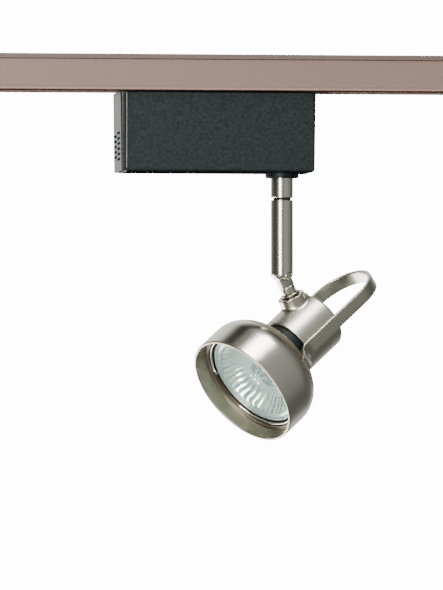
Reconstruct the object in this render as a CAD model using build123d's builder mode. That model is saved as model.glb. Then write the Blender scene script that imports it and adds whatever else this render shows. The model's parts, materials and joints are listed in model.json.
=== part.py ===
"""Low-voltage track head on a short length of track.

Frame: millimetres, +X along the track, +Z up, -Y towards the front.
The origin is the middle of the track's top face, the face that meets the ceiling.
"""
import math
import os

from build123d import *

# ---------------------------------------------------------------- driving dimensions
# track extrusion
TRACK_LEN = 305.0
TRACK_W = 35.0
TRACK_H = 17.8
TRACK_WALL = 1.5
TRACK_SLOT = 17.5          # clear width between the bottom lips
FACE_RECESS = 0.4          # the tall face is set in behind the top band and the lower lip
TOP_BAND = 2.4
LIP_BAND = 2.2
SCREW_PITCH = 152.4
SCREW_R = 2.25
CAP_T = 3.0

# transformer housing
BOX_X0, BOX_X1 = -48.1, 48.1
BOX_W = 30.0
BOX_TOP = -18.2
BOX_H = 39.1
BOX_TAPER = 0.73           # degrees
BOX_WALL = 1.6
END_T = 2.2                # end plate thickness

# stem
STEM_X = 33.3
STEM_R = 5.45
DISC_R, DISC_T = 8.15, 2.4
UPPER_END = -69.4
LOWER_TOP = -70.35
STEM_END = -109.8
STEM_ROUND = 3.5
PIVOT_Z = -107.2
FORK_GAP = 4.1
TONGUE_T = 3.9
TONGUE_R = 3.6
PIN_R = 1.6

# aim at rest: degrees below the horizon, and degrees from -X towards -Y
TILT = 37.5
AIM = 30.0
NECK_RAKE = 8.5            # the neck stands this much steeper than square to the lamp axis
NECK_LEN = 30.5            # pivot to lamp axis
NECK_R = 3.7
NECK_START = 5.6

# head, stations measured back from the front rim along the lamp axis
CUP_R = 30.0
CUP_WALL = 1.5
CUP_STRAIGHT = 13.6
DOME_R = 15.0
COLLAR_R = 14.1
COLLAR_END = 35.4
SOCKET_R = 15.4
SOCKET_WALL = 1.4
SOCKET_END = 60.5
BOSS_S = 50.0
BOSS_R = 6.75
BOSS_TOP = 19.4
STRAP_W = 6.6
STRAP_T = 1.9
STRAP_G = 17.6             # centre line of each leg from the lamp axis
STRAP_APEX = 95.0

os.makedirs("parts", exist_ok=True)


def save(builder, label):
    builder.part.label = label
    export_step(builder.part, "parts/" + label + ".step")


# ---------------------------------------------------------------- directions and planes
ta, ps, be = math.radians(TILT), math.radians(AIM), math.radians(TILT - NECK_RAKE)
UP = Vector(0, 0, 1)
H = Vector(-math.cos(ps), -math.sin(ps), 0)          # level direction of aim
F = H * math.cos(ta) - UP * math.sin(ta)             # out of the lamp
N = H * -math.sin(ta) - UP * math.cos(ta)            # square to the lamp axis, away from the pivot
K = H * -math.sin(be) - UP * math.cos(be)            # along the neck, away from the pivot
Q = UP.cross(H)                                      # level, along the pivot pin
PIVOT = Vector(STEM_X, 0, PIVOT_Z)
AXIS_PT = PIVOT + K * NECK_LEN
RIM = AXIS_PT + F * BOSS_S
BACK = F * -1
LAMP_AXIS = Axis(RIM, BACK)
HEAD = Plane(origin=RIM, x_dir=N, z_dir=Q)           # x = radius, y = station behind the rim
LOOP = Plane(origin=RIM, x_dir=Q, z_dir=N * -1)      # x = along the pin, y = station


def station(s):
    """A plane square to the lamp axis, facing back, s behind the rim."""
    return Plane(origin=RIM + BACK * s, x_dir=Q, z_dir=BACK)


def neck_plane(d):
    """A plane square to the neck, d from the pivot, facing the lamp axis."""
    return Plane(origin=PIVOT + K * d, x_dir=Q, z_dir=K)


SWING = Plane(origin=PIVOT, x_dir=H, z_dir=H.cross(UP))   # x = level aim, y = up

# ================================================================ track
half_w = TRACK_W / 2
with BuildPart() as track_channel:
    with BuildSketch(Plane.YZ.offset(-TRACK_LEN / 2)):
        with BuildLine():
            Polyline(
                (-half_w + 0.5, 0), (half_w - 0.5, 0), (half_w, -0.5), (half_w, -TOP_BAND),
                (half_w - FACE_RECESS, -TOP_BAND - 0.3), (half_w - FACE_RECESS, -TRACK_H + LIP_BAND + 0.3),
                (half_w, -TRACK_H + LIP_BAND), (half_w, -TRACK_H + 0.4), (half_w - 0.4, -TRACK_H),
                (TRACK_SLOT / 2, -TRACK_H), (TRACK_SLOT / 2, -TRACK_H + TRACK_WALL),
                (half_w - TRACK_WALL, -TRACK_H + TRACK_WALL), (half_w - TRACK_WALL, -TRACK_WALL),
                (-half_w + TRACK_WALL, -TRACK_WALL), (-half_w + TRACK_WALL, -TRACK_H + TRACK_WALL),
                (-TRACK_SLOT / 2, -TRACK_H + TRACK_WALL), (-TRACK_SLOT / 2, -TRACK_H),
                (-half_w + 0.4, -TRACK_H), (-half_w, -TRACK_H + 0.4), (-half_w, -TRACK_H + LIP_BAND),
                (-half_w + FACE_RECESS, -TRACK_H + LIP_BAND + 0.3), (-half_w + FACE_RECESS, -TOP_BAND - 0.3),
                (-half_w, -TOP_BAND), (-half_w, -0.5), close=True,
            )
        make_face()
    extrude(amount=TRACK_LEN)
    with Locations((-SCREW_PITCH / 2, 0, 0), (SCREW_PITCH / 2, 0, 0)):
        Hole(SCREW_R, depth=TRACK_WALL * 2)
save(track_channel, "track_channel")

# insulating strips against the side walls, each with a groove that holds a copper bus
INS_IN, INS_TOP, INS_BOT = 11.5, -2.0, -13.8
BUS_TOP, BUS_BOT, BUS_IN, BUS_OUT = -7.3, -9.7, 12.6, 13.5
with BuildPart() as track_insulator_front:
    with BuildSketch(Plane.YZ.offset(-TRACK_LEN / 2)):
        with BuildLine():
            Polyline(
                (-half_w + TRACK_WALL, INS_TOP), (-INS_IN - 0.8, INS_TOP), (-INS_IN, INS_TOP - 0.8),
                (-INS_IN, BUS_TOP), (-BUS_OUT, BUS_TOP), (-BUS_OUT, BUS_BOT), (-INS_IN, BUS_BOT),
                (-INS_IN, INS_BOT), (-half_w + TRACK_WALL, INS_BOT), close=True,
            )
        make_face()
    extrude(amount=TRACK_LEN)
save(track_insulator_front, "track_insulator_front")

with BuildPart() as track_insulator_rear:
    add(track_insulator_front.part.mirror(Plane.XZ))
save(track_insulator_rear, "track_insulator_rear")

with BuildPart() as track_conductors:
    with BuildSketch(Plane.YZ.offset(-TRACK_LEN / 2 + 2)):
        with Locations((-(BUS_IN + BUS_OUT) / 2, (BUS_TOP + BUS_BOT) / 2), ((BUS_IN + BUS_OUT) / 2, (BUS_TOP + BUS_BOT) / 2)):
            Rectangle(BUS_OUT - BUS_IN, BUS_TOP - BUS_BOT)
    extrude(amount=TRACK_LEN - 4)
save(track_conductors, "track_conductors")

with BuildPart() as track_ground_strip:
    with BuildSketch(Plane.YZ.offset(-TRACK_LEN / 2 + 2)):
        with Locations((0, -TRACK_WALL - 0.4)):
            Rectangle(8.0, 0.8)
    extrude(amount=TRACK_LEN - 4)
    with Locations((-SCREW_PITCH / 2, 0, -1), (SCREW_PITCH / 2, 0, -1)):
        Hole(SCREW_R, depth=4)
save(track_ground_strip, "track_ground_strip")

with BuildPart() as track_end_cap_right:
    with BuildSketch(Plane.YZ.offset(TRACK_LEN / 2)):
        with Locations((0, -TRACK_H / 2)):
            RectangleRounded(TRACK_W, TRACK_H, 1.0)
    extrude(amount=CAP_T)
    fillet(track_end_cap_right.faces().sort_by(Axis.X)[-1].edges(), 0.8)
    with BuildSketch(Plane.YZ.offset(TRACK_LEN / 2)):
        with Locations((0, -9.3)):
            RectangleRounded(21.6, 13.4, 0.8)
    extrude(amount=-8)
save(track_end_cap_right, "track_end_cap_right")

with BuildPart() as track_end_cap_left:
    add(track_end_cap_right.part.mirror(Plane.YZ))
save(track_end_cap_left, "track_end_cap_left")

# ================================================================ carriage: the sprung earth button
with BuildPart() as earth_button:
    with BuildSketch(Plane.XY.offset(-2.45)):
        Circle(2.5)
    extrude(amount=-3.2)
    fillet(earth_button.faces().sort_by(Axis.Z)[-1].edges(), 0.6)
save(earth_button, "earth_button")

# ================================================================ track adapter
with BuildPart() as adapter_head:
    # post through the track's slot, up from the inside of the housing roof
    with BuildSketch(Plane.XY.offset(-21.8)):
        Circle(8.5)
    extrude(amount=1.9)
    with BuildSketch(Plane.XY.offset(-21.8)):
        Circle(6.0)
    extrude(amount=17.9)
    # locking wings that bear on the track's lips
    with BuildSketch(Plane.XY.offset(-16.1)):
        RectangleRounded(11.6, 25.0, 1.5)
    extrude(amount=2.1)
    # contact carrier
    with BuildSketch(Plane.XY.offset(-14.0)):
        Circle(8.0)
    extrude(amount=9.0)
    chamfer(adapter_head.faces().sort_by(Axis.Z)[-1].edges(), 0.6)
    # seat of the earth button
    with Locations((0, 0, -3.9)):
        Hole(2.62, depth=3.0)
    # slot for the contact blades
    with BuildSketch(Plane.XY.offset(-9.0)):
        Rectangle(4.0, 20.0)
    extrude(amount=1.0, mode=Mode.SUBTRACT)
    # wire way down into the housing
    with Locations((0, 0, -9.5)):
        Hole(2.0, depth=15)
save(adapter_head, "adapter_head")

with BuildPart() as adapter_contacts:
    with BuildSketch(Plane.XY.offset(-9.0)):
        with Locations((0, 8.15), (0, -8.15)):
            RectangleRounded(3.9, 8.2, 0.6)
    extrude(amount=1.0)
save(adapter_contacts, "adapter_contacts")

# ================================================================ transformer housing
box_cx, box_len = (BOX_X0 + BOX_X1) / 2, BOX_X1 - BOX_X0
SPLIT_X = BOX_X0 + END_T
with BuildPart() as housing_cover:
    with BuildSketch(Plane.XY.offset(BOX_TOP)):
        with Locations((box_cx, 0)):
            RectangleRounded(box_len, BOX_W, 1.6)
    extrude(amount=-BOX_H, taper=BOX_TAPER)
    fillet(housing_cover.faces().sort_by(Axis.Z)[0].edges(), 1.5)
    fillet(housing_cover.faces().sort_by(Axis.Z)[-1].edges(), 0.8)
    split(bisect_by=Plane(origin=(SPLIT_X, 0, 0), x_dir=(0, 1, 0), z_dir=(1, 0, 0)), keep=Keep.TOP)
    chamfer(housing_cover.faces().filter_by(Axis.X).sort_by(Axis.X)[0].edges(), 0.7)
    # cavity, open at the end plate
    with BuildSketch(Plane.XY.offset(BOX_TOP - BOX_WALL)):
        with Locations((box_cx - 5, 0)):
            RectangleRounded(box_len - 2 * BOX_WALL + 10, BOX_W - 2 * BOX_WALL, 0.8)
    extrude(amount=-(BOX_H - 2 * BOX_WALL), taper=BOX_TAPER, mode=Mode.SUBTRACT)
    # adapter post and stem holes
    with Locations((0, 0, BOX_TOP)):
        Hole(6.03, depth=4)
    with Locations((STEM_X, 0, BOX_TOP - BOX_H + 2)):
        Hole(3.05, depth=5)
save(housing_cover, "housing_cover")

with BuildPart() as housing_end_plate:
    with BuildSketch(Plane.XY.offset(BOX_TOP - 0.25)):
        with Locations((box_cx, 0)):
            RectangleRounded(box_len, BOX_W - 0.5, 1.2)
    extrude(amount=-(BOX_H - 0.5), taper=BOX_TAPER)
    split(bisect_by=Plane(origin=(SPLIT_X, 0, 0), x_dir=(0, 1, 0), z_dir=(1, 0, 0)), keep=Keep.BOTTOM)
    # tongue that plugs into the cover
    with BuildSketch(Plane.YZ.offset(SPLIT_X)):
        with Locations((0, BOX_TOP - BOX_H / 2)):
            RectangleRounded(BOX_W - 2 * BOX_WALL - 1.3, BOX_H - 2 * BOX_WALL - 0.5, 0.8)
            RectangleRounded(BOX_W - 2 * BOX_WALL - 4.3, BOX_H - 2 * BOX_WALL - 3.5, 0.8, mode=Mode.SUBTRACT)
    extrude(amount=3.0)
    # two staggered columns of vent slots
    with BuildSketch(Plane.YZ.offset(BOX_X0 - 1)):
        with Locations(*[(7.2, -39.6 - 2.55 * i) for i in range(5)]):
            SlotOverall(9.5, 1.25)
        with Locations(*[(-4.6, -38.3 - 2.55 * i) for i in range(6)]):
            SlotOverall(9.5, 1.25)
    extrude(amount=4.0, mode=Mode.SUBTRACT)
save(housing_end_plate, "housing_end_plate")

# electronic transformer inside the housing
with BuildPart() as transformer_board:
    with BuildSketch(Plane.XY.offset(-49.6)):
        with Locations((-10.5, 0)):
            Rectangle(64.0, 24.5)
    extrude(amount=1.6)
save(transformer_board, "transformer_board")

with BuildPart() as transformer_core:
    with BuildSketch(Plane.XY.offset(-45.0)):
        with Locations((-12.0, 0)):
            Circle(10.5)
            Circle(5.2, mode=Mode.SUBTRACT)
    extrude(amount=8.0)
    fillet(transformer_core.edges().filter_by(GeomType.CIRCLE), 0.8)
save(transformer_core, "transformer_core")

with BuildPart() as transformer_winding:
    for a in range(0, 360, 30):
        arm = Plane(origin=(-12.0, 0, -41.0), x_dir=(math.cos(math.radians(a)), math.sin(math.radians(a)), 0),
                    z_dir=(-math.sin(math.radians(a)), math.cos(math.radians(a)), 0))
        with BuildSketch(arm.offset(-1.15)):
            with Locations((7.8, 0)):
                RectangleRounded(8.0, 10.8, 0.9)
                Rectangle(5.7, 8.04, mode=Mode.SUBTRACT)
        extrude(amount=2.3)
save(transformer_winding, "transformer_winding")

with BuildPart() as board_capacitors:
    with BuildSketch(Plane.XY.offset(-48.0)):
        with Locations((-33.5, 6.2), (-33.5, -6.2)):
            Circle(4.0)
    extrude(amount=13.0)
    fillet(board_capacitors.faces().sort_by(Axis.Z)[-2:].edges(), 0.6)
save(board_capacitors, "board_capacitors")

with BuildPart() as board_transistors:
    with BuildSketch(Plane.XY.offset(-48.0)):
        with Locations((9.0, 6.0), (9.0, -6.0)):
            Rectangle(4.4, 9.6)
    extrude(amount=14.0)
save(board_transistors, "board_transistors")

with BuildPart() as board_terminal:
    with BuildSketch(Plane.XY.offset(-48.0)):
        with Locations((17.0, 0)):
            Rectangle(7.0, 11.0)
    extrude(amount=8.5)
    with BuildSketch(Plane.YZ.offset(22.0)):
        with Locations((2.6, -44.0), (-2.6, -44.0)):
            Circle(1.3)
    extrude(amount=-7.0, mode=Mode.SUBTRACT)
save(board_terminal, "board_terminal")

with BuildPart() as board_posts:
    with BuildSketch(Plane.XY.offset(-49.6)):
        with Locations((-39.5, 9.0), (-39.5, -9.0), (18.0, 9.0), (18.0, -9.0)):
            Circle(2.2)
    extrude(amount=-6.0)
save(board_posts, "board_posts")

# ================================================================ swivel and stem
BOX_BOTTOM = BOX_TOP - BOX_H
with BuildPart() as swivel_disc:
    with BuildSketch(Plane.XY.offset(BOX_BOTTOM)):
        with Locations((STEM_X, 0)):
            Circle(DISC_R)
            Circle(3.05, mode=Mode.SUBTRACT)
    extrude(amount=-DISC_T)
    fillet(swivel_disc.faces().sort_by(Axis.Z)[0].edges().sort_by(SortBy.LENGTH)[-1:], 0.5)
save(swivel_disc, "swivel_disc")

with BuildPart() as stem_upper:
    with BuildSketch(Plane.XY.offset(BOX_BOTTOM - DISC_T)):
        with Locations((STEM_X, 0)):
            Circle(STEM_R)
            Circle(3.05, mode=Mode.SUBTRACT)
    extrude(amount=UPPER_END - (BOX_BOTTOM - DISC_T))
    chamfer(stem_upper.faces().sort_by(Axis.Z)[0].edges().sort_by(SortBy.LENGTH)[-1:], 0.35)
save(stem_upper, "stem_upper")

with BuildPart() as swivel_washer:
    with BuildSketch(Plane.XY.offset(UPPER_END)):
        with Locations((STEM_X, 0)):
            Circle(4.3)
            Circle(3.05, mode=Mode.SUBTRACT)
    extrude(amount=-0.9)
save(swivel_washer, "swivel_washer")

with BuildPart() as swivel_nipple:
    with BuildSketch(Plane.XY.offset(-50.2)):
        with Locations((STEM_X, 0)):
            Circle(3.0)
            Circle(2.0, mode=Mode.SUBTRACT)
    extrude(amount=-28.0)
save(swivel_nipple, "swivel_nipple")

with BuildPart() as nipple_nut:
    with BuildSketch(Plane.XY.offset(BOX_BOTTOM + BOX_WALL)):
        with Locations((STEM_X, 0)):
            RegularPolygon(6.2, 6)
            Circle(3.02, mode=Mode.SUBTRACT)
    extrude(amount=3.0)
save(nipple_nut, "nipple_nut")

with BuildPart() as swivel_retainer:
    with BuildSketch(Plane.XY.offset(-75.15)):
        with Locations((STEM_X, 0)):
            Circle(3.95)
            Circle(3.02, mode=Mode.SUBTRACT)
    extrude(amount=-2.6)
save(swivel_retainer, "swivel_retainer")

with BuildPart() as stem_lower:
    with BuildSketch(Plane.XY.offset(LOWER_TOP)):
        with Locations((STEM_X, 0)):
            Circle(STEM_R)
    extrude(amount=STEM_END - LOWER_TOP)
    fillet(stem_lower.faces().sort_by(Axis.Z)[0].edges(), STEM_ROUND)
    chamfer(stem_lower.faces().sort_by(Axis.Z)[-1].edges(), 0.35)
    # bearing bore, cavity for the retainer, wire way
    with Locations((STEM_X, 0, LOWER_TOP)):
        Hole(3.08, depth=8)
    with BuildSketch(Plane.XY.offset(-75.0)):
        with Locations((STEM_X, 0)):
            Circle(4.2)
    extrude(amount=-9.0, mode=Mode.SUBTRACT)
    with BuildSketch(Plane.XY.offset(-83.0)):
        with Locations((STEM_X, 0)):
            Circle(2.2)
    extrude(amount=-22.0, mode=Mode.SUBTRACT)
    # pocket for the knuckle's tongue, open behind and below
    with BuildSketch(SWING):
        with BuildLine():
            Polyline((3.95, -8), (3.95, 1.6), (1.6, 3.95), (-9, 3.95), (-9, -8), close=True)
        make_face()
    extrude(amount=FORK_GAP / 2, both=True, mode=Mode.SUBTRACT)
    # pivot pin hole
    with BuildSketch(SWING):
        Circle(PIN_R)
    extrude(amount=8, both=True, mode=Mode.SUBTRACT)
save(stem_lower, "stem_lower")

with BuildPart() as pivot_pin:
    with BuildSketch(SWING):
        Circle(PIN_R)
    extrude(amount=5.1, both=True)
    chamfer(pivot_pin.edges().filter_by(GeomType.CIRCLE), 0.25)
save(pivot_pin, "pivot_pin")

# ================================================================ knuckle
BOSS_FACE = NECK_LEN - BOSS_TOP            # distance of the boss's open end from the pivot
with BuildPart() as knuckle:
    # flat tongue round the pin
    swing_k = Plane(origin=PIVOT, x_dir=K, z_dir=Q)
    with BuildSketch(swing_k):
        Circle(TONGUE_R)
        with Locations((NECK_START / 2 + 0.5, 0)):
            Rectangle(NECK_START + 1, 2 * TONGUE_R)
    extrude(amount=TONGUE_T / 2, both=True)
    # round barrel
    with BuildSketch(neck_plane(NECK_START)):
        Circle(NECK_R)
    extrude(amount=BOSS_FACE + 1.4 - NECK_START)
    # reduced thread through the boss
    with BuildSketch(neck_plane(BOSS_FACE)):
        Circle(2.95)
    extrude(amount=20.7 - BOSS_FACE)
    with BuildSketch(swing_k):
        Circle(PIN_R + 0.05)
    extrude(amount=6, both=True, mode=Mode.SUBTRACT)
    # wire way from the thread's end to a mouth beside the tongue
    with BuildSketch(neck_plane(21.0)):
        Circle(1.6)
    extrude(amount=-13.0, mode=Mode.SUBTRACT)
save(knuckle, "knuckle")

with BuildPart() as neck_collar:
    with BuildSketch(neck_plane(BOSS_FACE - 1.5)):
        Circle(4.5)
        Circle(NECK_R, mode=Mode.SUBTRACT)
    extrude(amount=1.1)
    fillet(neck_collar.edges().filter_by(GeomType.CIRCLE).sort_by(SortBy.LENGTH)[-2:], 0.4)
save(neck_collar, "neck_collar")

with BuildPart() as neck_locknut:
    with BuildSketch(neck_plane(NECK_LEN - 12.3)):
        RegularPolygon(4.7, 6)
        Circle(2.97, mode=Mode.SUBTRACT)
    extrude(amount=2.3)
save(neck_locknut, "neck_locknut")

# ================================================================ socket
with BuildPart() as socket_shell:
    with BuildSketch(HEAD):
        with BuildLine():
            Polyline((0, COLLAR_END), (SOCKET_R - 0.4, COLLAR_END), (SOCKET_R, COLLAR_END + 0.4), (SOCKET_R, SOCKET_END - 4.2))
            ThreePointArc((SOCKET_R, SOCKET_END - 4.2), (SOCKET_R - 1.25, SOCKET_END - 1.35), (SOCKET_R - 4.2, SOCKET_END - 0.1))
            Polyline((SOCKET_R - 4.2, SOCKET_END - 0.1), (0, SOCKET_END + 0.6), (0, COLLAR_END))
        make_face()
    revolve(axis=LAMP_AXIS)
    body_edges = socket_shell.edges()
    # raked boss for the neck
    with BuildSketch(neck_plane(BOSS_FACE)):
        Circle(BOSS_R)
    extrude(amount=BOSS_TOP - 6)
    new_edges = socket_shell.edges() - body_edges
    fillet(new_edges.filter_by(GeomType.CIRCLE).sort_by_distance(PIVOT)[0:1], 0.7)
    # cavity
    with BuildSketch(HEAD):
        with BuildLine():
            Polyline((0, COLLAR_END - 1), (SOCKET_R - SOCKET_WALL, COLLAR_END - 1), (SOCKET_R - SOCKET_WALL, SOCKET_END - 4.2),
                     (SOCKET_R - 4.4, SOCKET_END - 1.6), (0, SOCKET_END - 1.3), close=True)
        make_face()
    revolve(axis=LAMP_AXIS, mode=Mode.SUBTRACT)
    # recess and hole for the neck
    with BuildSketch(neck_plane(BOSS_FACE - 1)):
        Circle(4.7)
    extrude(amount=2.4, mode=Mode.SUBTRACT)
    with BuildSketch(neck_plane(BOSS_FACE)):
        Circle(2.97)
    extrude(amount=12, mode=Mode.SUBTRACT)
save(socket_shell, "socket_shell")

# black insulating collar between the cup and the socket
with BuildPart() as insulator_collar:
    with BuildSketch(HEAD):
        with BuildLine():
            Polyline((9.7, CUP_STRAIGHT + DOME_R), (COLLAR_R, CUP_STRAIGHT + DOME_R), (COLLAR_R, COLLAR_END),
                     (SOCKET_R - SOCKET_WALL - 0.1, COLLAR_END), (SOCKET_R - SOCKET_WALL - 0.1, 44.2), (9.7, 44.2), close=True)
        make_face()
    revolve(axis=LAMP_AXIS)
    with BuildSketch(station(20)):
        with PolarLocations(11.75, 3, start_angle=90):
            Circle(1.5)
    extrude(amount=30, mode=Mode.SUBTRACT)
save(insulator_collar, "insulator_collar")

with BuildPart() as lampholder:
    with BuildSketch(station(44.2)):
        Circle(13.4)
        with PolarLocations(11.75, 3, start_angle=90):
            Circle(1.5, mode=Mode.SUBTRACT)
    extrude(amount=2.2)
    with BuildSketch(station(44.2)):
        Circle(9.0)
    extrude(amount=11.0)
    with BuildSketch(station(44.2)):
        with Locations((2.65, 0), (-2.65, 0)):
            Circle(1.7)
    extrude(amount=7.5, mode=Mode.SUBTRACT)
save(lampholder, "lampholder")

with BuildPart() as lampholder_contacts:
    with BuildSketch(station(44.6)):
        with Locations((2.65, 0), (-2.65, 0)):
            Circle(1.6)
            Circle(0.8, mode=Mode.SUBTRACT)
    extrude(amount=6.6)
save(lampholder_contacts, "lampholder_contacts")

with BuildPart() as socket_screws:
    with BuildSketch(station(27.1)):
        with PolarLocations(11.75, 3, start_angle=90):
            Circle(1.5)
    extrude(amount=19.3)
    with BuildSketch(station(25.5)):
        with PolarLocations(11.75, 3, start_angle=90):
            Circle(2.4)
    extrude(amount=1.6)
save(socket_screws, "socket_screws")

# ================================================================ cup
with BuildPart() as cup_shell:
    with BuildSketch(HEAD):
        with BuildLine():
            c = math.sqrt(0.5)
            ri = DOME_R - CUP_WALL
            x0 = CUP_R - DOME_R
            Polyline((28.5, 0.35), (28.85, 0), (CUP_R - 0.5, 0), (CUP_R, 0.5), (CUP_R, CUP_STRAIGHT))
            ThreePointArc((CUP_R, CUP_STRAIGHT), (x0 + DOME_R * c, CUP_STRAIGHT + DOME_R * c), (x0, CUP_STRAIGHT + DOME_R))
            Polyline((x0, CUP_STRAIGHT + DOME_R), (9.5, CUP_STRAIGHT + DOME_R), (9.5, CUP_STRAIGHT + ri), (x0, CUP_STRAIGHT + ri))
            ThreePointArc((x0, CUP_STRAIGHT + ri), (x0 + ri * c, CUP_STRAIGHT + ri * c), (x0 + ri, CUP_STRAIGHT))
            Polyline((x0 + ri, CUP_STRAIGHT), (x0 + ri, 13.4), (24.2, 13.4), (24.2, 12.2), (27.0, 12.2), (27.0, 9.6),
                     (27.4, 9.6), (27.4, 8.1), (27.0, 8.1), (27.0, 7.2), (28.5, 7.2), (28.5, 0.35))
        make_face()
    revolve(axis=LAMP_AXIS)
    with BuildSketch(station(20)):
        with PolarLocations(11.75, 3, start_angle=90):
            Circle(1.5)
    extrude(amount=20, mode=Mode.SUBTRACT)
    # strap screw holes, square to the dome
    for side in (1, -1):
        a = math.radians(43)
        out = Q * (side * math.cos(a)) + BACK * math.sin(a)
        base = RIM + Q * (side * x0) + BACK * CUP_STRAIGHT
        with BuildSketch(Plane(origin=base + out * 10, x_dir=N, z_dir=out)):
            Circle(1.25)
        extrude(amount=6, mode=Mode.SUBTRACT)
save(cup_shell, "cup_shell")

# loop strap: a flat bar bent to a U, with its feet lying on the cup's dome
x0 = CUP_R - DOME_R
r_in = DOME_R + 0.03
r_out = r_in + STRAP_T
foot0, foot1 = math.radians(24), math.radians(58)
g0, g1 = STRAP_G - STRAP_T / 2, STRAP_G + STRAP_T / 2


def on_dome(r, t):
    return (x0 + r * math.cos(t), CUP_STRAIGHT + r * math.sin(t))


# reverse bend from the foot's end to the leg, about one centre
rb_out = (x0 + r_out * math.cos(foot1) - g1) / (1 - math.cos(foot1))
cx = g1 + rb_out
cy = CUP_STRAIGHT + r_out * math.sin(foot1) + rb_out * math.sin(foot1)
rb_in = rb_out + STRAP_T


def on_bend(r, t):
    return (cx - r * math.cos(t), cy - r * math.sin(t))


apex_c = STRAP_APEX - STRAP_G
with BuildPart() as loop_strap:
    with BuildSketch(LOOP):
        for side in (1, -1):
            with BuildLine():
                p = [
                    on_dome(r_in, foot0), on_dome(r_in, (foot0 + foot1) / 2), on_dome(r_in, foot1),
                    on_bend(rb_in, foot1 / 2), on_bend(rb_in, 0), (g0, apex_c), (g0 * c, apex_c + g0 * c), (0, apex_c + g0),
                    (0, apex_c + g1), (g1 * c, apex_c + g1 * c), (g1, apex_c), on_bend(rb_out, 0), on_bend(rb_out, foot1 / 2),
                    on_dome(r_out, foot1), on_dome(r_out, (foot0 + foot1) / 2), on_dome(r_out, foot0),
                ]
                p = [(side * a, b) for a, b in p]
                ThreePointArc(p[0], p[1], p[2])
                ThreePointArc(p[2], p[3], p[4])
                Line(p[4], p[5])
                ThreePointArc(p[5], p[6], p[7])
                Line(p[7], p[8])
                ThreePointArc(p[8], p[9], p[10])
                Line(p[10], p[11])
                ThreePointArc(p[11], p[12], p[13])
                ThreePointArc(p[13], p[14], p[15])
                Line(p[15], p[0])
            make_face()
    extrude(amount=STRAP_W / 2, both=True)
    for side in (1, -1):
        a = math.radians(43)
        out = Q * (side * math.cos(a)) + BACK * math.sin(a)
        base = RIM + Q * (side * x0) + BACK * CUP_STRAIGHT
        with BuildSketch(Plane(origin=base + out * 10, x_dir=N, z_dir=out)):
            Circle(1.25)
        extrude(amount=DOME_R + 1.3 - 10, mode=Mode.SUBTRACT)
save(loop_strap, "loop_strap")

with BuildPart() as strap_screws:
    for side in (1, -1):
        a = math.radians(43)
        out = Q * (side * math.cos(a)) + BACK * math.sin(a)
        base = RIM + Q * (side * x0) + BACK * CUP_STRAIGHT
        with BuildSketch(Plane(origin=base + out * (DOME_R - CUP_WALL - 0.25), x_dir=N, z_dir=out)):
            Circle(1.2)
        extrude(amount=CUP_WALL + 1.45)
        with BuildSketch(Plane(origin=base + out * (DOME_R - CUP_WALL - 0.25), x_dir=N, z_dir=out)):
            Circle(2.1)
        extrude(amount=-1.2)
save(strap_screws, "strap_screws")

# spring ring that holds the lamp in
with BuildPart() as retaining_ring:
    with BuildSketch(HEAD):
        with Locations((26.62, 8.85)):
            Circle(0.6)
    revolve(axis=LAMP_AXIS, revolution_arc=338)
save(retaining_ring, "retaining_ring")

# ================================================================ lamp
with BuildPart() as lamp_reflector:
    with BuildSketch(HEAD):
        with BuildLine():
            Polyline((21.4, 10.6), (22.9, 10.6), (22.9, 9.6), (25.2, 9.6), (25.2, 12.1), (23.6, 12.1))
            Spline((23.6, 12.1), (20.4, 16.4), (14.6, 20.9), (8.4, 24.2), tangents=((-0.35, 1), (-1, 0.4)))
            Polyline((8.4, 24.2), (8.4, 26.8), (5.6, 26.8), (5.6, 23.6), (7.0, 22.9))
            Spline((7.0, 22.9), (13.4, 19.3), (18.6, 15.0), (21.4, 10.6), tangents=((1, -0.42), (0.35, -1)))
        make_face()
    revolve(axis=LAMP_AXIS)
save(lamp_reflector, "lamp_reflector")

with BuildPart() as lamp_cover_glass:
    with BuildSketch(station(9.5)):
        Circle(22.8)
    extrude(amount=1.05)
save(lamp_cover_glass, "lamp_cover_glass")

with BuildPart() as lamp_base:
    with BuildSketch(station(26.8)):
        RectangleRounded(15.0, 10.0, 1.5)
    extrude(amount=17.1)
    with BuildSketch(station(26.8)):
        RectangleRounded(7.6, 5.0, 0.8)
    extrude(amount=8.0, mode=Mode.SUBTRACT)
save(lamp_base, "lamp_base")

with BuildPart() as lamp_pins:
    with BuildSketch(station(43.9)):
        with Locations((2.65, 0), (-2.65, 0)):
            Circle(0.75)
    extrude(amount=6.7)
save(lamp_pins, "lamp_pins")

with BuildPart() as lamp_capsule:
    with BuildSketch(HEAD):
        with BuildLine():
            Polyline((0, 13.0), (0.8, 13.4))
            Spline((0.8, 13.4), (2.6, 14.6), (4.0, 16.8), (4.3, 20.0), tangents=((1, 0.4), (0, 1)))
            Polyline((4.3, 20.0), (4.3, 24.4), (2.2, 25.8), (2.2, 33.0), (0, 33.0), (0, 13.0))
        make_face()
    revolve(axis=LAMP_AXIS)
save(lamp_capsule, "lamp_capsule")

print("rim", tuple(round(v, 3) for v in RIM), "F", tuple(round(v, 4) for v in F), "N", tuple(round(v, 4) for v in N), "Q", tuple(round(v, 4) for v in Q), "K", tuple(round(v, 4) for v in K))
print("pivot", tuple(PIVOT), "apex", tuple(round(v, 2) for v in (RIM + BACK * STRAP_APEX)), "axis point", tuple(round(v, 2) for v in AXIS_PT))
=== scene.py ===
import json
import math
import random

import bpy
import bmesh
from mathutils import Matrix, Vector, noise

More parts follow.
